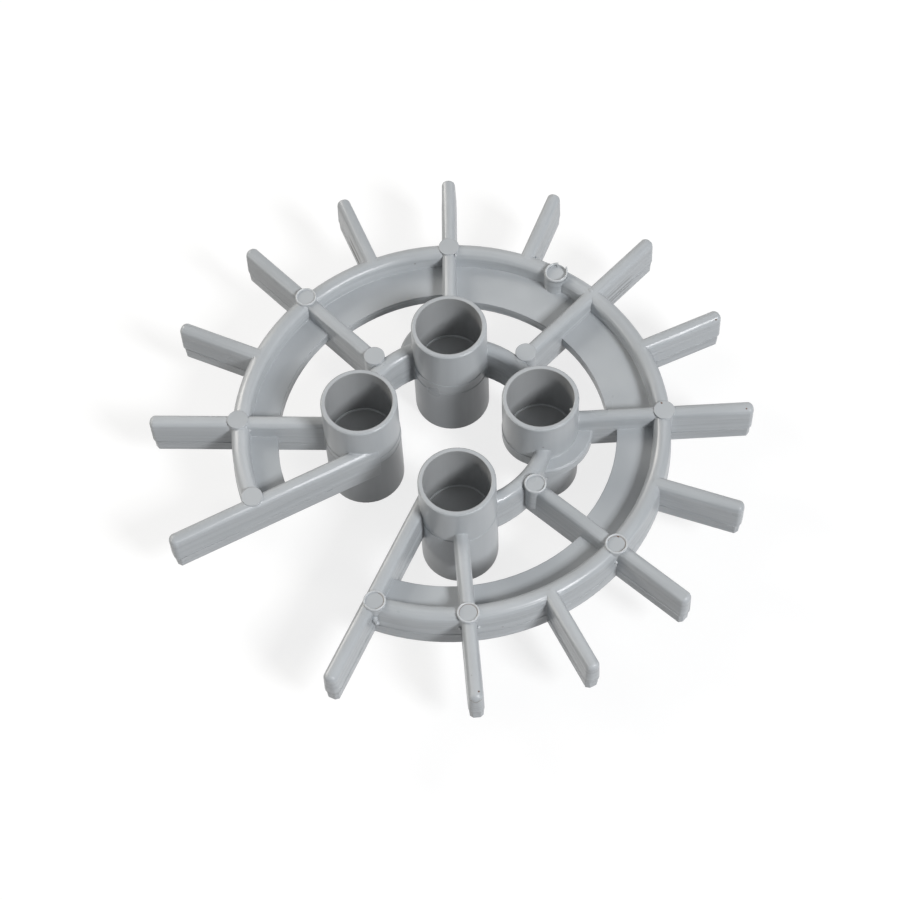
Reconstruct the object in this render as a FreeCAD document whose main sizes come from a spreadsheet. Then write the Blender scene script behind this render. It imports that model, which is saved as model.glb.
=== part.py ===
"""Wheel spacer for reinforcing bar, one moulding.

Millimetres, +Z up. The bar runs along Z through the origin, the mouth that snaps over it opens
towards -Y, and the four tubes stand on z = 0. Levels are counted from the parting plane, which
cuts the tubes half way up: ribs rise above it and hang below it.
"""
import FreeCAD
import Part

import math
import os
import re
import Sketcher

NODE = "wheel_spacer"

SIZES = {
    # wheel
    "tip_radius": 50.5,
    "fin_count": 13,
    "fin_pitch": 22.0,
    # straight ribs: fins, spokes and mouth lips
    "rib_width": 2.6,
    "rib_crest_width": 2.36,
    "rib_rise": 5.2,
    "rib_drop": 3.0,
    "rib_foot_width": 2.2,
    "crown_round": 1.0,
    "foot_bevel": 0.35,
    "parting_step": 0.1,
    "tip_bevel": 0.6,
    "tip_soften": 0.22,
    "tip_step": 0.3,
    "tip_foot_bevel": 0.5,
    # rim, the broad ring the fins stand on
    "rim_radius": 35.2,
    "rim_width": 3.15,
    "rim_crest_width": 2.9,
    "rim_rise": 5.15,
    "rim_drop": 2.9,
    "rim_crown_round": 1.3,
    # inner ring that ties the tubes together
    "hoop_radius": 16.2,
    "hoop_width": 2.55,
    "hoop_rise": 5.1,
    # flat web inside the rim, in three depths
    "web_thickness": 2.0,
    "web_radius_back": 26.3,
    "web_radius_side": 27.7,
    "web_radius_front": 29.1,
    # tubes that grip the bar
    "tube_circle": 14.93,
    "tube_rise": 11.25,
    "tube_drop": 11.25,
    "tube_radius": 6.37,
    "tube_ledge": 0.08,
    "tube_ledge_rise": 2.4,
    "tube_edge_bevel": 0.2,
    "tube_open_sweep": 180.0,
    "cup_radius": 5.57,
    "cup_floor_thickness": 1.25,
    "open_floor_radius": 5.8,
    "flange_radius": 8.8,
    "flange_sweep": 90.0,
    "flange_bevel": 0.3,
    # mouth lips
    "lip_lean": 19.0,
    "lip_offset": 5.35,
    # round ejector bosses
    "boss_radius": 1.76,
    "boss_rise": 5.34,
    "rim_boss_circle": 35.57,
    "hoop_boss_circle": 18.47,
    "lip_boss_reach": 35.2,
    "lip_boss_offset": 0.85,
    "odd_boss_radius": 1.95,
    "odd_boss_circle": 34.6,
    "odd_boss_angle": 101.9,
}

FORMULAS = {
    "parting": "tube_drop",
    "web_top": "parting + web_thickness",
    "tube_top": "tube_drop + tube_rise",
    "first_angle": "90 - (fin_count - 1) / 2 * fin_pitch",
    "last_angle": "90 + (fin_count - 1) / 2 * fin_pitch",
    "spoke_pitch": "2 * fin_pitch",
    "spoke_count": "(fin_count + 1) / 2",
    "tube_pitch": "4 * fin_pitch",
    # angle between a front tube and its lip, both seen from the wheel's axis
    "lip_swing": "90 + first_angle - lip_lean",
    "lip_start": "tube_circle * cos(lip_swing)",
    "lip_miss": "tube_circle * sin(lip_swing) - lip_offset",
    "lip_reach": "sqrt(tip_radius ^ 2 - lip_miss ^ 2)",
    "rim_sweep": "360 - 2 * (lip_lean + asin(lip_miss / rim_radius) / 1 deg)",
}

doc = FreeCAD.newDocument("wheel_spacer")
sheet = doc.addObject("Spreadsheet::Sheet", "sizes")
for row, (name, size) in enumerate(SIZES.items(), 1):
    sheet.set(f"A{row}", name)
    sheet.set(f"B{row}", str(size))
    sheet.setAlias(f"B{row}", name)
doc.recompute()


def new_body(name):
    return doc.addObject("PartDesign::Body", name)


def origin(body, role):
    return next(item for item in body.Origin.OriginFeatures if item.Role == role)


def expression(text):
    """A formula in the names above, written out in the sheet's aliases."""

    def swap(match):
        word = match.group()
        if word in FORMULAS:
            return "(" + expression(FORMULAS[word]) + ")"
        return "sizes." + word if word in SIZES else word

    return re.sub(r"[a-z_]+", swap, text)


def number(text):
    return float(sheet.evalExpression(expression(text)))


def drive(target, **bound):
    """Bind properties of a feature to formulas."""
    for prop, text in bound.items():
        target.setExpression(prop, expression(text))


def add(body, kind, name):
    """A feature at the end of a body; faces are merged once, on the finished moulding."""
    feature = body.newObject(kind, name)
    feature.Refine = False
    return feature


def upright_sketch(body, name, across="0", along="0", turn="0"):
    """A vertical sketch whose own Z axis stands at (across, along), turned about that axis."""
    sketch = body.newObject("Sketcher::SketchObject", name)
    sketch.AttachmentSupport = [(origin(body, "XZ_Plane"), "")]
    sketch.MapMode = "FlatFace"
    about_upright = FreeCAD.Rotation(FreeCAD.Vector(0, 1, 0), 1)
    sketch.AttachmentOffset = FreeCAD.Placement(FreeCAD.Vector(), about_upright)
    sketch.setExpression("AttachmentOffset.Base.x", expression(across))
    sketch.setExpression("AttachmentOffset.Base.z", expression(f"-({along})"))
    sketch.setExpression("AttachmentOffset.Rotation.Angle", expression(turn))
    return sketch


def polar_sketch(body, name, radius, angle):
    """A vertical sketch across a radius, so that a pad from it runs outwards."""
    across = f"{radius} * cos({angle})"
    along = f"{radius} * sin({angle})"
    return upright_sketch(body, name, across, along, f"{angle} - 90")


def hold(sketch, index, vertex, across, up):
    """Fix a point of the sketch at formulas counted from the sketch's origin."""
    for kind, axis, text in (("DistanceX", -2, across), ("DistanceY", -1, up)):
        if text == "0":
            sketch.addConstraint(Sketcher.Constraint("PointOnObject", index, vertex, axis))
            continue
        placed = sketch.addConstraint(Sketcher.Constraint(kind, -1, 1, index, vertex, number(text)))
        sketch.setExpression(f"Constraints[{placed}]", expression(text))


def outline(sketch, corners):
    """A closed profile through corners (across, up)."""
    points = [FreeCAD.Vector(number(across), number(up), 0) for across, up in corners]
    lines = []
    for i, point in enumerate(points):
        line = Part.LineSegment(point, points[(i + 1) % len(points)])
        lines.append(sketch.addGeometry(line, False))
    for i, (across, up) in enumerate(corners):
        sketch.addConstraint(Sketcher.Constraint("Coincident", lines[i - 1], 2, lines[i], 1))
        hold(sketch, lines[i], 1, across, up)
    return sketch


def both_sides(right, centre):
    """Corners of a section from its right half, whose distances count from the section's middle."""
    left = [(f"{centre} - ({across})", up) for across, up in reversed(right)]
    return [(f"{centre} + {across}", up) for across, up in right] + left


def upper_half(waist, crest, rise, rounding, centre="0"):
    """Corners of a rib or ring above the parting plane, its crown rounded in flats."""
    right = [(f"{waist} / 2", "parting")]
    for turn in CROWN_TURNS:
        across = f"{crest} / 2 - {rounding} * (1 - cos({turn}))"
        right.append((across, f"parting + {rise} - {rounding} * (1 - sin({turn}))"))
    return both_sides(right, centre)


def rib_lower_half():
    """Corners of a straight rib below the parting plane, set in by the parting step."""
    right = [
        ("rib_width / 2 - parting_step", "parting"),
        ("rib_foot_width / 2", "parting - rib_drop + foot_bevel"),
        ("rib_foot_width / 2 - foot_bevel", "parting - rib_drop"),
    ]
    return list(reversed(both_sides(right, "0")))


def ring_lower_half(waist, drop, centre):
    """The same for a ring, with upright sides."""
    side = f"{waist} / 2 - parting_step"
    return list(reversed(both_sides([(side, "parting"), (side, f"parting - {drop}")], centre)))


CROWN_TURNS = (0, 30, 60, 90)
RIB_UPPER = upper_half("rib_width", "rib_crest_width", "rib_rise", "crown_round")
RIB_LOWER = rib_lower_half()
RIM = upper_half("rim_width", "rim_crest_width", "rim_rise", "rim_crown_round", "rim_radius")
RIM += ring_lower_half("rim_width", "rim_drop", "rim_radius")
HOOP = upper_half("hoop_width", "hoop_width", "hoop_rise", "crown_round", "hoop_radius")
HOOP += ring_lower_half("hoop_width", "rib_drop", "hoop_radius")


def pad(name, sketch, length):
    feature = add(sketch.getParentGeoFeatureGroup(), "PartDesign::Pad", name)
    feature.Profile = sketch
    feature.Reversed = True
    drive(feature, Length=length)
    return feature


def revolve(name, sketch, sweep="360", kind="PartDesign::Revolution", **options):
    feature = add(sketch.getParentGeoFeatureGroup(), kind, name)
    feature.Profile = sketch
    feature.ReferenceAxis = (sketch, ["V_Axis"])
    for option, setting in options.items():
        setattr(feature, option, setting)
    drive(feature, Angle=sweep)
    return feature


def around(body, name, originals, count, pitch):
    """Repeat features about the wheel's axis; with none given, repeat the whole body so far."""
    feature = add(body, "PartDesign::PolarPattern", name)
    if originals:
        feature.Originals = originals
    else:
        feature.TransformMode = "Whole shape"
    feature.Axis = (origin(body, "Z_Axis"), [""])
    feature.Mode = "Spacing"
    drive(feature, Occurrences=count, Offset=pitch)
    body.Tip = feature


def bevel_end(name, feature, end, level_test, size):
    """Chamfer the edges that lie in an end plane, but not the one on the parting plane.

    The end is given by its outward direction and the distance of its plane along it.
    """
    direction, reach = end
    doc.recompute()
    parting = number("parting")
    chosen = []
    for index, edge in enumerate(feature.Shape.Edges, 1):
        ring = edge.discretize(5)
        levels = [point.z for point in ring]
        if max(levels) - min(levels) < 1e-6 and abs(levels[0] - parting) < 1e-6:
            continue
        if not level_test(sum(levels) / len(levels) - parting):
            continue
        if all(abs(point.dot(direction) - reach) < 1e-6 for point in ring):
            chosen.append(f"Edge{index}")
    bevelled = add(feature.getParentGeoFeatureGroup(), "PartDesign::Chamfer", name)
    bevelled.Base = (feature, chosen)
    drive(bevelled, Size=size)
    doc.recompute()
    return bevelled


def round_tip(name, feature, direction, reach):
    """Round the end of a rib above the parting plane in three flats."""
    bevelled = bevel_end(f"{name}_bevel", feature, (direction, number(reach)), above, "tip_bevel")
    outer = bevel_end(f"{name}_outer", bevelled, (direction, number(reach)), above, "tip_soften")
    bevel_end(f"{name}_inner", outer, (direction, number(f"{reach} - tip_bevel")), above, "tip_soften")


def bevel_foot(name, feature, end):
    bevel_end(name, feature, end, below, "tip_foot_bevel")


def heading(angle):
    turn = math.radians(number(angle))
    return FreeCAD.Vector(math.cos(turn), math.sin(turn), 0)


def above(level):
    return level > 0


def below(level):
    return level < 0


# fins, from the middle of the rim out to the cover radius
ribs = new_body("ribs")
ribs.Label = NODE
fin_lower = pad(
    "fin_lower",
    outline(polar_sketch(ribs, "fin_lower_section", "rim_radius", "first_angle"), RIB_LOWER),
    "tip_radius - rim_radius - tip_step",
)
fin_heading = heading("first_angle")
bevel_foot("fin_tip_foot", fin_lower, (fin_heading, number("tip_radius - tip_step")))
fin_upper = pad(
    "fin_upper",
    outline(polar_sketch(ribs, "fin_upper_section", "rim_radius", "first_angle"), RIB_UPPER),
    "tip_radius - rim_radius",
)
round_tip("fin_tip", fin_upper, fin_heading, "tip_radius")
around(ribs, "fins", None, "fin_count", "fin_pitch")

# mouth lips, straight from the mouth side of each front tube
for side, sign in (("right", "1"), ("left", "-1")):
    # the lip's own direction, and the point on its centreline abreast of the tube
    angle = f"-90 + {sign} * lip_lean"
    across = f"{sign} * (lip_start * sin(lip_lean) + lip_miss * cos(lip_lean))"
    along = "lip_miss * sin(lip_lean) - lip_start * cos(lip_lean)"
    section = upright_sketch(ribs, f"lip_{side}_lower_section", across, along, f"{angle} - 90")
    lower = pad(f"lip_{side}_lower", outline(section, RIB_LOWER), "lip_reach - lip_start - tip_step")
    bevel_foot(f"lip_{side}_tip_foot", lower, (heading(angle), number("lip_reach - tip_step")))
    section = upright_sketch(ribs, f"lip_{side}_upper_section", across, along, f"{angle} - 90")
    upper = pad(f"lip_{side}_upper", outline(section, RIB_UPPER), "lip_reach - lip_start")
    round_tip(f"lip_{side}_tip", upper, heading(angle), "lip_reach")

# spokes, from the hoop or a tube out to the rim
spoke_section = polar_sketch(ribs, "spoke_section", "hoop_radius", "first_angle")
spoke = pad("spoke", outline(spoke_section, RIB_UPPER + RIB_LOWER), "rim_radius - hoop_radius")
around(ribs, "spokes", [spoke], "spoke_count", "spoke_pitch")

# rim, hoop and the three depths of web, all even about +Y
TO_BACK = "90"
rings = new_body("rings")
revolve("rim", outline(upright_sketch(rings, "rim_section", turn=TO_BACK), RIM), "rim_sweep", Midplane=True)
hoop_section = outline(upright_sketch(rings, "hoop_section", turn=TO_BACK), HOOP)
revolve("hoop", hoop_section, "last_angle - first_angle", Midplane=True)
for depth, sweep in (("back", "tube_pitch"), ("side", "2 * tube_pitch"), ("front", "rim_sweep")):
    web_section = outline(
        upright_sketch(rings, f"web_{depth}_section", turn=TO_BACK),
        [
            (f"web_radius_{depth}", "parting"),
            ("rim_radius", "parting"),
            ("rim_radius", "web_top"),
            (f"web_radius_{depth}", "web_top"),
        ],
    )
    revolve(f"web_{depth}", web_section, sweep, Midplane=True)

# tubes, still solid, and the part flanges round the two at the back
tubes = new_body("tubes")
front_tube = ("tube_circle * cos(first_angle)", "tube_circle * sin(first_angle)")
tube_section = outline(
    upright_sketch(tubes, "tube_section", *front_tube),
    [
        ("0", "0"),
        ("tube_radius + tube_ledge", "0"),
        ("tube_radius + tube_ledge", "parting + tube_ledge_rise"),
        ("tube_radius", "parting + tube_ledge_rise"),
        ("tube_radius", "tube_top - tube_edge_bevel"),
        ("tube_radius - tube_edge_bevel", "tube_top"),
        ("0", "tube_top"),
    ],
)
around(tubes, "tube_set", [revolve("tube", tube_section)], "4", "tube_pitch")
back_angle = "first_angle + tube_pitch"
back_tube = (f"tube_circle * cos({back_angle})", f"tube_circle * sin({back_angle})")
flange_section = outline(
    upright_sketch(tubes, "flange_section", *back_tube, back_angle),
    [
        ("0", "parting"),
        ("flange_radius", "parting"),
        ("flange_radius", "web_top - flange_bevel"),
        ("flange_radius - flange_bevel", "web_top"),
        ("0", "web_top"),
    ],
)
flange = revolve("flange", flange_section, "flange_sweep", Reversed=True)
flange_pair = add(tubes, "PartDesign::Mirrored", "flange_pair")
flange_pair.Originals = [flange]
flange_pair.MirrorPlane = (origin(tubes, "YZ_Plane"), [""])
tubes.Tip = flange_pair

# below the parting plane the right back tube keeps only its outer half round; its floor stays whole
opening_section = outline(
    upright_sketch(tubes, "tube_opening_section", *back_tube, f"{back_angle} + 90"),
    [
        ("0", "-1"),
        ("tube_radius + 1", "-1"),
        ("tube_radius + 1", "parting"),
        ("open_floor_radius", "parting"),
        ("open_floor_radius", "parting - cup_floor_thickness"),
        ("0", "parting - cup_floor_thickness"),
    ],
)
revolve("tube_opening", opening_section, "tube_open_sweep", "PartDesign::Groove")

# ejector bosses
bosses = new_body("bosses")


def boss(name, across, along, radius="boss_radius"):
    """A round pad that stands a little proud of the crowns, down to the parting plane."""
    section = outline(
        upright_sketch(bosses, f"{name}_section", across, along),
        [
            ("0", "parting"),
            (radius, "parting"),
            (radius, "parting + boss_rise"),
            ("0", "parting + boss_rise"),
        ],
    )
    return revolve(name, section)


def polar_boss(name, circle, angle, radius="boss_radius"):
    return boss(name, f"{circle} * cos({angle})", f"{circle} * sin({angle})", radius)


for side, angle in (("right", "first_angle"), ("left", "last_angle - 2 * spoke_pitch")):
    rim_boss = polar_boss(f"rim_boss_{side}", "rim_boss_circle", angle)
    around(bosses, f"rim_bosses_{side}", [rim_boss], "3", "spoke_pitch")
hoop_boss = polar_boss("hoop_boss", "hoop_boss_circle", "first_angle + spoke_pitch")
around(bosses, "hoop_bosses", [hoop_boss], "3", "tube_pitch")
for side, sign in (("right", "1"), ("left", "-1")):
    boss(
        f"lip_boss_{side}",
        f"{sign} * (lip_boss_reach * sin(lip_lean) + (lip_miss + lip_boss_offset) * cos(lip_lean))",
        "(lip_miss + lip_boss_offset) * sin(lip_lean) - lip_boss_reach * cos(lip_lean)",
    )
polar_boss("odd_boss", "odd_boss_circle", "odd_boss_angle", "odd_boss_radius")

# hollows of the cups in both ends of every tube
CUPS = {
    "upper": ("parting", "tube_top + 1"),
    "lower": ("-1", "parting - cup_floor_thickness"),
}
cups = new_body("cups")
for end, (bottom, top) in CUPS.items():
    cup_section = outline(
        upright_sketch(cups, f"cup_{end}_section", *front_tube),
        [("0", bottom), ("cup_radius", bottom), ("cup_radius", top), ("0", top)],
    )
    around(cups, f"cups_{end}", [revolve(f"cup_{end}", cup_section)], "4", "tube_pitch")
doc.recompute()

# one moulding: everything joined, then the cups sunk, which also clears the rib ends out of the bores
joined = add(ribs, "PartDesign::Boolean", "joined")
joined.Type = "Fuse"
joined.setObjects([rings, tubes, bosses])
hollowed = add(ribs, "PartDesign::Boolean", "hollowed")
hollowed.Type = "Cut"
hollowed.setObjects([cups])
hollowed.Refine = True
ribs.Tip = hollowed
doc.recompute()

for item in doc.Objects:
    if {"Invalid", "Error"} & set(item.State):
        raise RuntimeError(f"{item.Name}: {item.State}")
    if item.isDerivedFrom("PartDesign::Feature") and (item.Shape.isNull() or not item.Shape.isValid()):
        raise RuntimeError(f"{item.Name}: no sound shape")
if len(ribs.Shape.Solids) != 1:
    raise RuntimeError(f"{NODE}: {len(ribs.Shape.Solids)} solids instead of one")

os.makedirs("parts", exist_ok=True)
ribs.Shape.exportStep(f"parts/{NODE}.step")
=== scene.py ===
"""A grey moulded wheel spacer for reinforcing bar, on a pale floor, seen from the photograph's angle."""
import math

import bmesh
import bpy
from mathutils import Matrix, Vector


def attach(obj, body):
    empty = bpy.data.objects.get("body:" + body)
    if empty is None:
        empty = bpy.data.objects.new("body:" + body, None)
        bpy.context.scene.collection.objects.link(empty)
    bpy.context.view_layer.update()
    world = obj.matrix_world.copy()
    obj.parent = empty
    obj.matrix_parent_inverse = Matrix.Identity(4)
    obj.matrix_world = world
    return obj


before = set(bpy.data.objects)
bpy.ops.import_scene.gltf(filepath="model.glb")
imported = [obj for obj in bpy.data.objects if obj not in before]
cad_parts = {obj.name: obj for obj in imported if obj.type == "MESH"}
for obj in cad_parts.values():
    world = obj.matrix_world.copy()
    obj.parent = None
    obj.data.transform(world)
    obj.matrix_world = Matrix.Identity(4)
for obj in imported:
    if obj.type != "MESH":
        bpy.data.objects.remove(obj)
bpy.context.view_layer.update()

MM = 0.001
NODE = "wheel_spacer"

# camera, in degrees and millimetres
AZIMUTH = 46.384
ELEVATION = 59.485
ROLL = -3.340
DISTANCE = 361.30
TARGET = Vector((6.299, -6.533, 22.5))
LENS = 89.277
SENSOR = 36.0
CLIP_START = 10.0

# fins, rim and tubes of the moulding, in millimetres and degrees
PARTING = 11.25
RIB_HALF = 1.3
FIRST_FIN = -42.0
FIN_PITCH = 22.0
FIN_COUNT = 13
FIN_ANGLES = tuple(FIRST_FIN + FIN_PITCH * k for k in range(FIN_COUNT))
TIP_RADIUS = 50.5
RIM_CIRCLE = 35.2
RIM_WIDTH = 3.15
RIM_OUTSIDE = RIM_CIRCLE + RIM_WIDTH / 2
RIM_FROM = -66.0
RIM_TO = 246.0
TUBE_CIRCLE = 14.93
TUBE_ANGLES = (-42.0, 46.0, 134.0, 222.0)
BACK_TUBE = TUBE_ANGLES[2]
LEFT_TUBE = TUBE_ANGLES[3]
TUBE_OUTSIDE = 6.45
CUP_RADIUS = 5.57

# bosses; one of them, the odd boss, is wider and stands beside a spoke
BOSS_TOP = PARTING + 5.34
BOSS_RADIUS = 1.76
RIM_BOSS_CIRCLE = 35.57
HOOP_BOSS_CIRCLE = 18.47
ODD_BOSS_RADIUS = 1.95
ODD_BOSS_CIRCLE = 34.65
ODD_BOSS_ANGLE = 101.7

# mouth lips: lean from -Y, miss of the bar's axis, reach, and the place of a boss along and beside one
LIP_LEAN = 19.0
LIP_MISS = 1.888
LIP_REACH = 50.465
LIP_BOSS = (RIM_CIRCLE, 0.85)

# colours, linear
DARK_GREY = (0.385, 0.406, 0.424)
LIGHT_GREY = (0.462, 0.484, 0.503)
# painted shade: a darker grey for the inside of the cups, standing in for the shade in these recesses
CUP_SHADE_GREY = (0.360, 0.369, 0.376)
SCUFF_GREY = (0.12, 0.118, 0.115)
SPECK = (0.11, 0.09, 0.075)
FLOOR_BOUNCE = (0.28, 0.28, 0.285)
FLOOR_SEEN = (0.24, 0.24, 0.24)

# frequencies of the plastic's markings along each axis, per millimetre
CLOUD = (0.09, 0.09, 0.09)
FLOW_LINES = (0.02, 0.02, 1.0)
DRAW_LINES = (0.5, 0.5, 0.03)
SKIN = (3.2, 3.2, 3.2)
SCUFF_WANDER = (0.12, 0.5, 0.25)

# specks in the plastic: cells per metre, the draw above which a cell has one, and the dot's core and edge
SPECK_CELLS = 260.0
SPECK_CHOSEN = 0.82
SPECK_CORE = 0.025
SPECK_EDGE = 0.06

# scuffed places: fin, side, reach along it, levels, spacing of the strokes and strength
SCUFFS = (
    (156.0, 1.0, (39.6, 43.0), (10.8, 14.4), 1.9, 0.95),
    (90.0, -1.0, (38.0, 43.4), (9.4, 13.4), 1.15, 0.5),
)
# a fin's side lies between these distances from its middle, and the strokes fade out along it and up
SIDE_FROM = 0.9
SIDE_TO = 1.6
FADE_ALONG = 1.8
FADE_UP = 0.5

# depth of the drag lines and the skin and radius of the softened edges, in millimetres, and roughness
DRAG_DEPTH = 0.15
SKIN_DEPTH = 0.012
EDGE_RADIUS = 0.22
ROUGHNESS = (0.27, 0.37)

# edges shallower than this are shaded smooth, in degrees
SMOOTH_BELOW = 38.0

# how far a mark is sunk into what carries it, and how far a marking reaches past a wall, in millimetres
SUNK = 0.05
SUNK_IN_WALL = 0.1
TUBE_MARGIN = 0.15
CUP_MARGIN = 0.08


def polar(radius, angle, height):
    turn = math.radians(angle)
    return Vector((radius * math.cos(turn), radius * math.sin(turn), height))


# materials

def node(tree, kind, **inputs):
    made = tree.nodes.new(kind)
    for name, value in inputs.items():
        made.inputs[name.replace("_", " ")].default_value = value
    return made


def math_node(tree, operation, first, second=None):
    made = tree.nodes.new("ShaderNodeMath")
    made.operation = operation
    for index, value in enumerate((first, second)):
        if value is None:
            continue
        if isinstance(value, (int, float)):
            made.inputs[index].default_value = value
        else:
            tree.links.new(value, made.inputs[index])
    return made.outputs[0]


def product(tree, *values):
    result = values[0]
    for value in values[1:]:
        result = math_node(tree, "MULTIPLY", result, value)
    return result


def spread(tree, value, from_low, from_high, to_low, to_high):
    """One range of values carried over to another, and held at its ends."""
    made = node(
        tree, "ShaderNodeMapRange", From_Min=from_low, From_Max=from_high, To_Min=to_low, To_Max=to_high
    )
    made.clamp = True
    tree.links.new(value, made.inputs["Value"])
    return made.outputs["Result"]


def between(tree, value, low, high, soft):
    """1 from low to high, in millimetres, fading to 0 beyond them."""
    rise = spread(tree, value, (low - soft) * MM, low * MM, 0.0, 1.0)
    fall = spread(tree, value, high * MM, (high + soft) * MM, 1.0, 0.0)
    return product(tree, rise, fall)


def noise(tree, place, frequency, detail, roughness=0.5):
    """Noise with a frequency per millimetre along each axis."""
    mapping = tree.nodes.new("ShaderNodeMapping")
    mapping.inputs["Scale"].default_value = [per_mm / MM for per_mm in frequency]
    tree.links.new(place, mapping.inputs["Vector"])
    made = node(tree, "ShaderNodeTexNoise", Scale=1.0, Detail=detail, Roughness=roughness)
    tree.links.new(mapping.outputs["Vector"], made.inputs["Vector"])
    return made.outputs["Fac"]


def mix_colour(tree, factor, first, second):
    """A colour between two, each given as numbers or as another node's output."""
    made = tree.nodes.new("ShaderNodeMix")
    made.data_type = "RGBA"
    tree.links.new(factor, made.inputs["Factor"])
    for name, value in (("A", first), ("B", second)):
        if isinstance(value, tuple):
            made.inputs[name].default_value = (*value, 1.0)
        else:
            tree.links.new(value, made.inputs[name])
    return made.outputs["Result"]


def bump(tree, height, normal, strength, depth):
    made = node(tree, "ShaderNodeBump", Strength=strength, Distance=depth * MM)
    tree.links.new(height, made.inputs["Height"])
    tree.links.new(normal, made.inputs["Normal"])
    return made.outputs["Normal"]


def axes_of(tree, vector):
    split = tree.nodes.new("ShaderNodeSeparateXYZ")
    tree.links.new(vector, split.inputs["Vector"])
    return split.outputs


def length_of(tree, vector):
    made = tree.nodes.new("ShaderNodeVectorMath")
    made.operation = "LENGTH"
    tree.links.new(vector, made.inputs[0])
    return made.outputs["Value"]


def near_tube(tree, place, reach):
    """1 within a distance of any tube's axis, and 0 beyond it."""
    nearest = None
    for angle in TUBE_ANGLES:
        flat = tree.nodes.new("ShaderNodeVectorMath")
        flat.operation = "MULTIPLY_ADD"
        flat.inputs[1].default_value = (1.0, 1.0, 0.0)
        flat.inputs[2].default_value = -polar(TUBE_CIRCLE, angle, 0.0) * MM
        tree.links.new(place, flat.inputs[0])
        away = length_of(tree, flat.outputs[0])
        nearest = away if nearest is None else math_node(tree, "MINIMUM", nearest, away)
    return math_node(tree, "LESS_THAN", nearest, reach * MM)


def drag_lines(tree, place):
    """Flow lines along the ribs and draw lines up the tubes."""
    flow = spread(tree, noise(tree, place, FLOW_LINES, 4.0, 0.62), 0.25, 0.75, 0.0, 1.0)
    draw = spread(tree, noise(tree, place, DRAW_LINES, 2.0), 0.0, 1.0, 0.28, 0.72)
    made = tree.nodes.new("ShaderNodeMix")
    tree.links.new(near_tube(tree, place, TUBE_OUTSIDE + TUBE_MARGIN), made.inputs["Factor"])
    tree.links.new(flow, made.inputs["A"])
    tree.links.new(draw, made.inputs["B"])
    return made.outputs["Result"]


def painted_cup_shade(tree, place, colour):
    # painted shade: inside a cup and above the parting, the colour goes most of the way to a darker grey
    inside = near_tube(tree, place, CUP_RADIUS + CUP_MARGIN)
    above = math_node(tree, "GREATER_THAN", axes_of(tree, place)["Z"], (PARTING - SUNK) * MM)
    return mix_colour(tree, product(tree, inside, above, 0.9), colour, CUP_SHADE_GREY)


def specked(tree, place, colour):
    """The colour with a dark dot in the middle of each chosen cell."""
    cells = node(tree, "ShaderNodeTexVoronoi", Scale=SPECK_CELLS)
    tree.links.new(place, cells.inputs["Vector"])
    cell = tree.nodes.new("ShaderNodeSeparateColor")
    tree.links.new(cells.outputs["Color"], cell.inputs["Color"])
    chosen = math_node(tree, "GREATER_THAN", cell.outputs["Red"], SPECK_CHOSEN)
    dot = spread(tree, cells.outputs["Distance"], SPECK_CORE, SPECK_EDGE, 1.0, 0.0)
    return mix_colour(tree, product(tree, chosen, dot, 0.6), colour, SPECK)


def brushed(tree, place, angle, side, reach, levels, spacing):
    """Brushed strokes along one side of a fin."""
    turned = tree.nodes.new("ShaderNodeVectorRotate")
    turned.rotation_type = "Z_AXIS"
    turned.inputs["Angle"].default_value = -math.radians(angle)
    tree.links.new(place, turned.inputs["Vector"])
    on_fin = turned.outputs["Vector"]
    along, left, height = axes_of(tree, on_fin)
    facing = math_node(tree, "GREATER_THAN", product(tree, left, side), SIDE_FROM * MM)
    narrow = math_node(tree, "LESS_THAN", math_node(tree, "ABSOLUTE", left), SIDE_TO * MM)
    wander = product(tree, noise(tree, on_fin, SCUFF_WANDER, 3.0), 3.0)
    phase = math_node(tree, "ADD", product(tree, height, 2.0 * math.pi / (spacing * MM)), wander)
    strokes = spread(tree, math_node(tree, "SINE", phase), -0.5, 0.8, 0.0, 1.0)
    box = product(tree, between(tree, along, *reach, FADE_ALONG), between(tree, height, *levels, FADE_UP))
    return product(tree, facing, narrow, strokes, box)


def scuffed(tree, place, colour):
    for *where, strength in SCUFFS:
        worn = product(tree, brushed(tree, place, *where), strength)
        colour = mix_colour(tree, worn, colour, SCUFF_GREY)
    return colour


def plastic(name, dark, light):
    """Satin plastic: cloudy, with drag lines and a fine skin, specks, scuffs, and painted shade darkening
    the inside of the cups.
    """
    material = bpy.data.materials.new(name)
    material.use_nodes = True
    tree = material.node_tree
    shader = tree.nodes["Principled BSDF"]
    place = tree.nodes.new("ShaderNodeTexCoord").outputs["Object"]
    cloud = noise(tree, place, CLOUD, 3.0)
    lines = drag_lines(tree, place)

    tone = math_node(tree, "ADD", product(tree, cloud, 0.4), product(tree, lines, 0.6))
    colour = mix_colour(tree, spread(tree, tone, 0.34, 0.66, 0.0, 1.0), dark, light)
    # painted shade inside the cups
    colour = painted_cup_shade(tree, place, colour)
    colour = specked(tree, place, colour)
    colour = scuffed(tree, place, colour)
    tree.links.new(colour, shader.inputs["Base Color"])

    tree.links.new(spread(tree, cloud, 0.3, 0.7, *ROUGHNESS), shader.inputs["Roughness"])
    shader.inputs["IOR"].default_value = 1.5

    soft_edge = node(tree, "ShaderNodeBevel", Radius=EDGE_RADIUS * MM)
    soft_edge.samples = 6
    dragged = bump(tree, lines, soft_edge.outputs["Normal"], 0.7, DRAG_DEPTH)
    grained = bump(tree, noise(tree, place, SKIN, 2.0), dragged, 0.25, SKIN_DEPTH)
    tree.links.new(grained, shader.inputs["Normal"])
    return material


def plain(name, colour, roughness):
    material = bpy.data.materials.new(name)
    material.use_nodes = True
    shader = material.node_tree.nodes["Principled BSDF"]
    shader.inputs["Base Color"].default_value = (*colour, 1.0)
    shader.inputs["Roughness"].default_value = roughness
    return material


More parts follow.
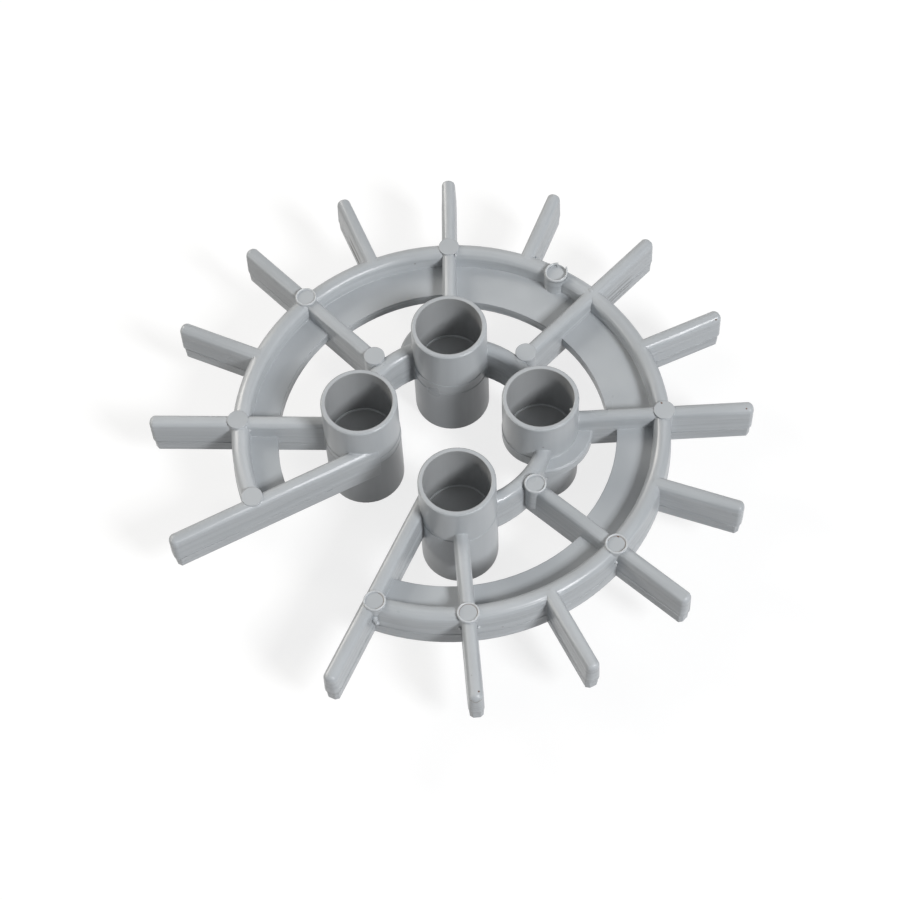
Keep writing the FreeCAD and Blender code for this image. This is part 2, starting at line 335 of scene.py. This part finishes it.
def smooth_by_angle(piece, degrees):
    """Shade smooth across shallow edges and keep the steep ones crisp, as modifiers."""
    group = bpy.data.node_groups.new("smooth_by_angle", "GeometryNodeTree")
    group.interface.new_socket("Geometry", in_out="INPUT", socket_type="NodeSocketGeometry")
    group.interface.new_socket("Geometry", in_out="OUTPUT", socket_type="NodeSocketGeometry")
    start = group.nodes.new("NodeGroupInput")
    stop = group.nodes.new("NodeGroupOutput")
    weld = node(group, "GeometryNodeMergeByDistance", Distance=1e-7)
    faces = group.nodes.new("GeometryNodeSetShadeSmooth")
    faces.domain = "FACE"
    edges = node(group, "GeometryNodeSetShadeSmooth", Shade_Smooth=False)
    edges.domain = "EDGE"
    angle = group.nodes.new("GeometryNodeInputMeshEdgeAngle")
    steep = group.nodes.new("FunctionNodeCompare")
    steep.data_type = "FLOAT"
    steep.operation = "GREATER_THAN"
    steep.inputs["B"].default_value = math.radians(degrees)
    link = group.links.new
    link(start.outputs[0], weld.inputs["Geometry"])
    link(weld.outputs["Geometry"], faces.inputs["Geometry"])
    link(faces.outputs["Geometry"], edges.inputs["Geometry"])
    link(angle.outputs["Unsigned Angle"], steep.inputs["A"])
    link(steep.outputs["Result"], edges.inputs["Selection"])
    link(edges.outputs["Geometry"], stop.inputs[0])
    modifier = piece.modifiers.new("smooth_by_angle", "NODES")
    modifier.node_group = group
    weighted = piece.modifiers.new("flat_faces_stay_flat", "WEIGHTED_NORMAL")
    weighted.mode = "FACE_AREA"
    weighted.keep_sharp = True


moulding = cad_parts[NODE]
grey = plastic("grey_plastic", DARK_GREY, LIGHT_GREY)
pale = plain("pale_flash", (0.52, 0.54, 0.555), 0.35)
brown = plain("brown_speck", (0.14, 0.085, 0.06), 0.6)
# painted shadow: a brown-grey material for thin rings inside three boss lips, where the lips cast shade
lip_shadow = plain("painted_lip_shadow", (0.27, 0.235, 0.215), 0.5)
# painted shadow: a dark grey for a thread that stands in for the shade in a crease
crease_shade = plain("painted_crease_shade", (0.33, 0.33, 0.325), 0.5)
moulding.data.materials.clear()
moulding.data.materials.append(grey)
smooth_by_angle(moulding, SMOOTH_BELOW)


# small marks of the mould, and painted shadow in two places, each seated in the surface that carries it

def settle(name, mesh_data, material):
    """Hand a finished mesh over as a piece that rides on the moulding."""
    bmesh.ops.recalc_face_normals(mesh_data, faces=mesh_data.faces)
    for face in mesh_data.faces:
        face.smooth = True
    mesh = bpy.data.meshes.new(name)
    mesh_data.to_mesh(mesh)
    mesh_data.free()
    mesh.materials.append(material)
    piece = bpy.data.objects.new(name, mesh)
    bpy.context.scene.collection.objects.link(piece)
    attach(piece, "root")


def loft(name, rows, closed, material):
    """A bead through rows of points in millimetres, joined end to end or capped."""
    bead = bmesh.new()
    made = [[bead.verts.new(point * MM) for point in row] for row in rows]
    count = len(made[0])
    for row, following in zip(made, made[1:] + made[:1] if closed else made[1:]):
        for k in range(count):
            bead.faces.new((row[k], following[k], following[(k + 1) % count], row[(k + 1) % count]))
    if not closed:
        bead.faces.new(made[0])
        bead.faces.new(list(reversed(made[-1])))
    settle(name, bead, material)


def turns(start, stop, step):
    count = max(2, round(abs(stop - start) / step))
    return [start + (stop - start) * k / count for k in range(count + 1)]


def swept(name, middle, angles, section, material):
    """A bead about an upright axis; section(angle) gives its outline as (radius, height)."""
    closed = abs(abs(angles[-1] - angles[0]) - 360.0) < 1e-6
    steps = angles[:-1] if closed else angles
    rows = [[middle + polar(radius, angle, height) for radius, height in section(angle)] for angle in steps]
    loft(name, rows, closed, material)


def low_bead(inner, outer, base, height):
    """A low rounded section, sunk a little into what it stands on."""
    half = (outer - inner) / 2
    crown = [math.radians(30 * k) for k in range(7)]
    top = [(inner + half - half * math.cos(a), base + height * math.sin(a)) for a in crown]
    return [(inner, base - SUNK)] + top + [(outer, base - SUNK)]


def side_bead(radius, level, out, tall):
    """A thin section on an upright wall."""
    return [
        (radius - SUNK_IN_WALL, level - tall),
        (radius + out, level - tall / 2),
        (radius + out, level + tall / 2),
        (radius - SUNK_IN_WALL, level + tall),
    ]


def uneven(angle, seed, share):
    """A smooth, repeatable unevenness around 1."""
    a = math.radians(angle)
    wave = math.sin(2 * a + seed) + 0.6 * math.sin(5 * a + 2.1 * seed) + 0.4 * math.sin(9 * a + 3.7 * seed)
    return 1.0 + share * wave / 2.0


def lip_point(side, reach, offset):
    """A point in plan beside a mouth lip; side is 1 on the right and -1 on the left."""
    lean = math.radians(LIP_LEAN)
    across = reach * math.sin(lean) + (LIP_MISS + offset) * math.cos(lean)
    return Vector((side * across, (LIP_MISS + offset) * math.sin(lean) - reach * math.cos(lean), 0.0))


# raised lips round some of the bosses, by place and height
LIPPED_BOSSES = {
    "rim_boss_lip_1": (polar(RIM_BOSS_CIRCLE, -42.0, 0.0), 0.24),
    "rim_boss_lip_2": (polar(RIM_BOSS_CIRCLE, 2.0, 0.0), 0.3),
    "rim_boss_lip_3": (polar(RIM_BOSS_CIRCLE, 178.0, 0.0), 0.26),
    "hoop_boss_lip": (polar(HOOP_BOSS_CIRCLE, 2.0, 0.0), 0.28),
    "mouth_boss_lip": (lip_point(1, *LIP_BOSS), 0.24),
}
BOSS_LIP_INSIDE = BOSS_RADIUS - 0.27
BOSS_LIP_OUTSIDE = BOSS_RADIUS + 0.08


def boss_lip(angle, seed, height):
    return low_bead(BOSS_LIP_INSIDE, BOSS_LIP_OUTSIDE, BOSS_TOP, height * uneven(angle, seed, 0.3))


for seed, (name, (middle, height)) in enumerate(LIPPED_BOSSES.items()):
    swept(name, middle, turns(0.0, 360.0, 7.5), lambda a, s=seed, h=height: boss_lip(a, s, h), pale)

# the torn lip of flash round the odd boss, open towards the picture's upper right;
# a horn's reach is a share of the lip's length
TORN_FROM = 76.0 + AZIMUTH
TORN_TO = 376.0 + AZIMUTH
TORN_HEIGHT = 0.58
TORN_WALL = 0.42
TORN_OUTSIDE = ODD_BOSS_RADIUS + 0.06
FIRST_HORN = 0.3
FIRST_HORN_REACH = 0.1
LAST_HORN = 0.85
LAST_HORN_REACH = 0.08


def fading(along, reach):
    return max(0.0, 1.0 - along / reach)


def torn_lip(angle):
    """A thin wall whose two ends stand up as horns, the last one higher."""
    along = (angle - TORN_FROM) / (TORN_TO - TORN_FROM)
    first = fading(along, FIRST_HORN_REACH)
    last = fading(1.0 - along, LAST_HORN_REACH)
    height = TORN_HEIGHT * uneven(angle, 1.7, 0.12) + first * FIRST_HORN + last * LAST_HORN
    wall = TORN_WALL + 0.2 * fading(along, 0.06) - 0.06 * last
    return [
        (TORN_OUTSIDE - wall, BOSS_TOP - SUNK),
        (TORN_OUTSIDE - wall * 0.85, BOSS_TOP + height * 0.75),
        (TORN_OUTSIDE - wall * 0.5, BOSS_TOP + height),
        (TORN_OUTSIDE - wall * 0.15, BOSS_TOP + height * 0.75),
        (TORN_OUTSIDE, BOSS_TOP - SUNK),
    ]


odd_boss = polar(ODD_BOSS_CIRCLE, ODD_BOSS_ANGLE, 0.0)
swept("odd_boss_lip", odd_boss, turns(TORN_FROM, TORN_TO, 4.0), torn_lip, pale)

# a pale seam where the floor of each cup meets its wall
SEAM_WIDTH = 0.24
SEAM_HEIGHT = 0.26


def cup_seam(angle, seed):
    inside = CUP_RADIUS - SEAM_WIDTH * uneven(angle, seed, 0.4)
    return low_bead(inside, CUP_RADIUS + SUNK_IN_WALL, PARTING, SEAM_HEIGHT)


for seed, angle in enumerate(TUBE_ANGLES):
    middle = polar(TUBE_CIRCLE, angle, 0.0)
    swept(f"cup_seam_{seed + 1}", middle, turns(0.0, 360.0, 5.0), lambda a, s=seed: cup_seam(a, s), pale)

# thin flash on the parting line: on every fin and mouth lip, along the rim and on two tubes;
# it stands out pale only on the first fins
PALE_FLASH_FINS = 3
FLASH_SECTION = ((-0.12, -0.12), (0.045, -0.09), (0.045, 0.02), (-0.12, 0.05))
FLASH_OUT = 0.05
FLASH_TALL = 0.1
RIM_FLASH_TALL = 0.09
RIM_FLASH_DROP = 0.03
LEFT_TUBE_RISE = 0.8
FLASH_INTO_RIM = 0.2
FLASH_TAPER = 2.0
FLASH_END_SHARE = 0.1
FLASH_END_GAP = 0.9
LIP_FLASH_FROM = 22.0


def beside_fin(angle):
    return lambda along, left: polar(along, angle, 0.0) + polar(left, angle + 90.0, 0.0)


def beside_lip(side):
    return lambda along, left: lip_point(side, along, left)


def side_flash(name, place_in_plan, start, stop, material):
    """Threads along both sides of a rib; place_in_plan(along, left) gives a point."""
    stations = (
        (start, 1.0),
        (start + FLASH_TAPER, 1.0),
        (stop - FLASH_TAPER, 1.0),
        (stop, FLASH_END_SHARE),
    )
    for end, side in (("a", 1.0), ("b", -1.0)):
        rows = []
        for along, share in stations:
            row = []
            for out, up in FLASH_SECTION:
                left = RIB_HALF + (out * share if out > 0.0 else out)
                row.append(place_in_plan(along, side * left) + Vector((0.0, 0.0, PARTING + up)))
            rows.append(row)
        loft(f"{name}_{end}", rows, False, material)


for number, angle in enumerate(FIN_ANGLES, 1):
    side_flash(
        f"fin_flash_{number}",
        beside_fin(angle),
        RIM_OUTSIDE - FLASH_INTO_RIM,
        TIP_RADIUS - FLASH_END_GAP,
        pale if number <= PALE_FLASH_FINS else grey,
    )
for name, side in (("right", 1), ("left", -1)):
    side_flash(f"lip_flash_{name}", beside_lip(side), LIP_FLASH_FROM, LIP_REACH - FLASH_END_GAP, grey)
swept(
    "rim_flash",
    Vector(),
    turns(RIM_FROM, RIM_TO, 2.0),
    lambda a: side_bead(RIM_OUTSIDE, PARTING - RIM_FLASH_DROP, FLASH_OUT, RIM_FLASH_TALL),
    grey,
)
for name, angle, level in (("back", BACK_TUBE, PARTING), ("left", LEFT_TUBE, PARTING + LEFT_TUBE_RISE)):
    swept(
        f"tube_flash_{name}",
        polar(TUBE_CIRCLE, angle, 0.0),
        turns(0.0, 360.0, 5.0),
        lambda a, z=level: side_bead(TUBE_OUTSIDE, z, FLASH_OUT, FLASH_TALL),
        grey,
    )

# small lumps and specks: place, half sizes and material
NIBS = {
    "nib_fin_2": (polar(36.75, -0.1, 13.6), (0.3, 0.3, 0.5), pale),
    "nib_fin_2_low": (polar(36.7, 0.0, 12.5), (0.22, 0.22, 0.4), pale),
    "nib_mouth_right": (polar(37.0, -65.8, 13.6), (0.62, 0.55, 0.9), grey),
    "nib_mouth_right_low": (polar(36.9, -65.4, 12.3), (0.45, 0.45, 0.5), grey),
    "nib_spoke_222": (polar(33.7, -136.1, 15.0), (0.26, 0.26, 0.3), pale),
    "nib_fin_222": (polar(36.8, -137.6, 14.0), (0.25, 0.25, 0.35), pale),
    "nib_fin_m42_left": (polar(36.75, -44.3, 13.5), (0.3, 0.3, 0.4), pale),
    "nib_fin_m42_right": (polar(36.8, -39.7, 13.5), (0.3, 0.3, 0.4), pale),
    "nib_boss_134": (polar(33.9, 132.0, 16.3), (0.2, 0.2, 0.25), pale),
    "nib_fin_112_a": (polar(36.7, 110.6, 15.4), (0.35, 0.22, 0.18), grey),
    "nib_fin_112_b": (polar(37.2, 109.9, 14.9), (0.3, 0.2, 0.16), grey),
    "burr_tube_46": (polar(19.95, 38.8, 22.3), (0.3, 0.3, 0.16), grey),
    "gate_90": (polar(35.45, 90.5, 16.38), (0.55, 0.45, 0.16), grey),
    "speck_fin_m42": (polar(49.2, -41.4, 16.37), (0.16, 0.16, 0.08), brown),
    "speck_boss_46": (polar(35.25, 48.2, 16.58), (0.22, 0.16, 0.05), brown),
    "speck_boss_2": (polar(34.9, 4.0, 16.62), (0.25, 0.12, 0.05), brown),
    "speck_fin_46": (polar(49.2, 45.4, 16.37), (0.16, 0.16, 0.08), brown),
    "speck_fin_68": (polar(49.3, 67.0, 16.15), (0.17, 0.17, 0.12), brown),
}
NIB_SWELL = 0.16


def nib(name, place, size, material):
    """A small lump of flash or dirt, half sunk into the surface under it."""
    lump = bmesh.new()
    bmesh.ops.create_icosphere(lump, subdivisions=2, radius=1.0)
    for vert in lump.verts:
        x, y, z = vert.co
        swell = 1.0 + NIB_SWELL * math.sin(5.0 * x + place.x) * math.cos(4.0 * y + 3.0 * z)
        vert.co = Vector([(p + c * swell * s) * MM for p, c, s in zip(place, vert.co, size)])
    settle(name, lump, material)


for name, (place, size, material) in NIBS.items():
    nib(name, place, size, material)

# painted shadow along the inner foot of three boss lips, where each lip shades the boss top, from one angle
# to another
LIP_SHADOW_ARCS = {
    "rim_boss_lip_1": (20.0, 250.0),
    "rim_boss_lip_2": (-60.0, 200.0),
    "mouth_boss_lip": (-40.0, 110.0),
}
LIP_SHADOW_INSIDE = BOSS_RADIUS - 0.36
LIP_SHADOW_OUTSIDE = BOSS_RADIUS - 0.22
LIP_SHADOW_HEIGHT = 0.03


def painted_boss_lip_shadow(angle):
    """The same flat section all along."""
    return low_bead(LIP_SHADOW_INSIDE, LIP_SHADOW_OUTSIDE, BOSS_TOP, LIP_SHADOW_HEIGHT)


for name, (start, stop) in LIP_SHADOW_ARCS.items():
    # painted shadow rings inside the boss lips
    swept(f"{name}_grime", LIPPED_BOSSES[name][0], turns(start, stop, 8.0), painted_boss_lip_shadow, lip_shadow)

# painted shadow of the crease across the end of the fin nearest the viewer, as a dark thread; its points as
# radius, angle and height
CREASE = (
    (50.1, -43.05, 15.45),
    (50.3, -42.8, 15.65),
    (50.5, -42.4, 15.4),
    (50.5, -41.9, 15.25),
    (50.45, -41.5, 15.6),
    (50.2, -41.0, 15.55),
)
CREASE_HALF = 0.09


def thread(name, points, half, across, material):
    """A fine line, square in section, through points in millimetres; across is its sideways direction."""
    corners = ((-half, -half), (half, -half), (half, half), (-half, half))
    rows = []
    for point in points:
        rows.append([point + polar(side, across, 0.0) + Vector((0.0, 0.0, up)) for side, up in corners])
    loft(name, rows, False, material)


# painted shadow of the crease
thread("crease_shade_fin_1", [polar(*point) for point in CREASE], CREASE_HALF, FIRST_FIN, crease_shade)

# floor, lamps and world, with lengths in metres, and the camera

FLOOR_HALF = 3.0
GLOW_NEAR = 0.2
GLOW_FAR = 1.0
GLOW_AT_OBJECT = 0.79
SKY_LEVEL = 0.15
LAMP_DISTANCE = 1.0
WARM = (1.05, 1.0, 0.93)
COOL = (0.99, 1.0, 1.012)
WHITE = (1.0, 1.0, 1.0)
# name, clock, elevation, width, level and colour
LAMPS = (
    ("key", 45.0, 42.0, 0.24, 0.86, COOL),
    ("back_left", 225.0, 31.0, 0.3, 0.4, WARM),
    ("left", 180.0, 20.0, 0.16, 0.17, WARM),
    ("back_right", 315.0, 42.0, 0.3, 0.07, WHITE),
)

centre = Vector((0.0, 0.0, PARTING * MM))
azimuth = math.radians(AZIMUTH)
picture_right = Vector((math.cos(azimuth), math.sin(azimuth), 0.0))
towards_viewer = Vector((math.sin(azimuth), -math.cos(azimuth), 0.0))


def seen_directly(tree):
    """1 for what is seen straight or in a reflection, and 0 for the light that falls on the object."""
    path = tree.nodes.new("ShaderNodeLightPath")
    seen = math_node(tree, "MAXIMUM", path.outputs["Is Camera Ray"], path.outputs["Is Glossy Ray"])
    return math_node(tree, "MAXIMUM", seen, path.outputs["Is Transmission Ray"])


def paper_white():
    """Paper that takes the shadow and glows towards plain white away from the object."""
    material = bpy.data.materials.new("pale_floor")
    material.use_nodes = True
    tree = material.node_tree
    tree.nodes.clear()
    seen = seen_directly(tree)
    paper = tree.nodes.new("ShaderNodeBsdfDiffuse")
    tree.links.new(mix_colour(tree, seen, FLOOR_BOUNCE, FLOOR_SEEN), paper.inputs["Color"])
    away = length_of(tree, tree.nodes.new("ShaderNodeTexCoord").outputs["Object"])
    whiteness = spread(tree, away, GLOW_NEAR, GLOW_FAR, GLOW_AT_OBJECT, 1.0)
    glow = tree.nodes.new("ShaderNodeEmission")
    tree.links.new(product(tree, seen, whiteness), glow.inputs["Strength"])
    both = tree.nodes.new("ShaderNodeAddShader")
    tree.links.new(paper.outputs[0], both.inputs[0])
    tree.links.new(glow.outputs[0], both.inputs[1])
    out = tree.nodes.new("ShaderNodeOutputMaterial")
    tree.links.new(both.outputs[0], out.inputs["Surface"])
    return material


def make_floor(half):
    mesh = bpy.data.meshes.new("floor")
    corners = [(-half, -half, 0.0), (half, -half, 0.0), (half, half, 0.0), (-half, half, 0.0)]
    mesh.from_pydata(corners, [], [(0, 1, 2, 3)])
    mesh.materials.append(paper_white())
    floor = bpy.data.objects.new("floor", mesh)
    bpy.context.scene.collection.objects.link(floor)


def make_lamp(name, clock, elevation, width, level, colour):
    """A square lamp whose light, straight on, brings a white surface to the given level.

    Clock 0 stands at the picture's right, 90 at the viewer's side, 180 at the left and 270 behind.
    """
    turn = math.radians(clock)
    climb = math.radians(elevation)
    flat = picture_right * math.cos(turn) + towards_viewer * math.sin(turn)
    direction = flat * math.cos(climb) + Vector((0.0, 0.0, math.sin(climb)))
    data = bpy.data.lights.new(name, "AREA")
    data.shape = "SQUARE"
    data.size = width
    data.color = colour
    data.energy = level * math.pi ** 2 * LAMP_DISTANCE ** 2
    lamp = bpy.data.objects.new(name, data)
    lamp.location = centre + direction * LAMP_DISTANCE
    lamp.rotation_mode = "QUATERNION"
    lamp.rotation_quaternion = (-direction).to_track_quat("-Z", "Y")
    bpy.context.scene.collection.objects.link(lamp)


def make_world(level):
    """A white world that lights the object at the given level only."""
    world = bpy.data.worlds.new("studio")
    bpy.context.scene.world = world
    world.use_nodes = True
    tree = world.node_tree
    background = tree.nodes["Background"]
    background.inputs["Color"].default_value = (*WHITE, 1.0)
    tree.links.new(spread(tree, seen_directly(tree), 0.0, 1.0, level, 1.0), background.inputs["Strength"])


def make_camera():
    elevation = math.radians(ELEVATION)
    roll = math.radians(ROLL)
    back = towards_viewer * math.cos(elevation) + Vector((0.0, 0.0, math.sin(elevation)))
    up = back.cross(picture_right)
    across = picture_right * math.cos(roll) + up * math.sin(roll)
    over = up * math.cos(roll) - picture_right * math.sin(roll)
    data = bpy.data.cameras.new("camera")
    data.sensor_width = SENSOR
    data.lens = LENS
    data.clip_start = CLIP_START * MM
    camera = bpy.data.objects.new("camera", data)
    pose = Matrix((across, over, back)).transposed().to_4x4()
    pose.translation = TARGET * MM + back * DISTANCE * MM
    camera.matrix_world = pose
    bpy.context.scene.collection.objects.link(camera)
    bpy.context.scene.camera = camera


make_floor(FLOOR_HALF)
for lamp in LAMPS:
    make_lamp(*lamp)
make_world(SKY_LEVEL)
make_camera()
bpy.context.scene.view_settings.view_transform = "Standard"
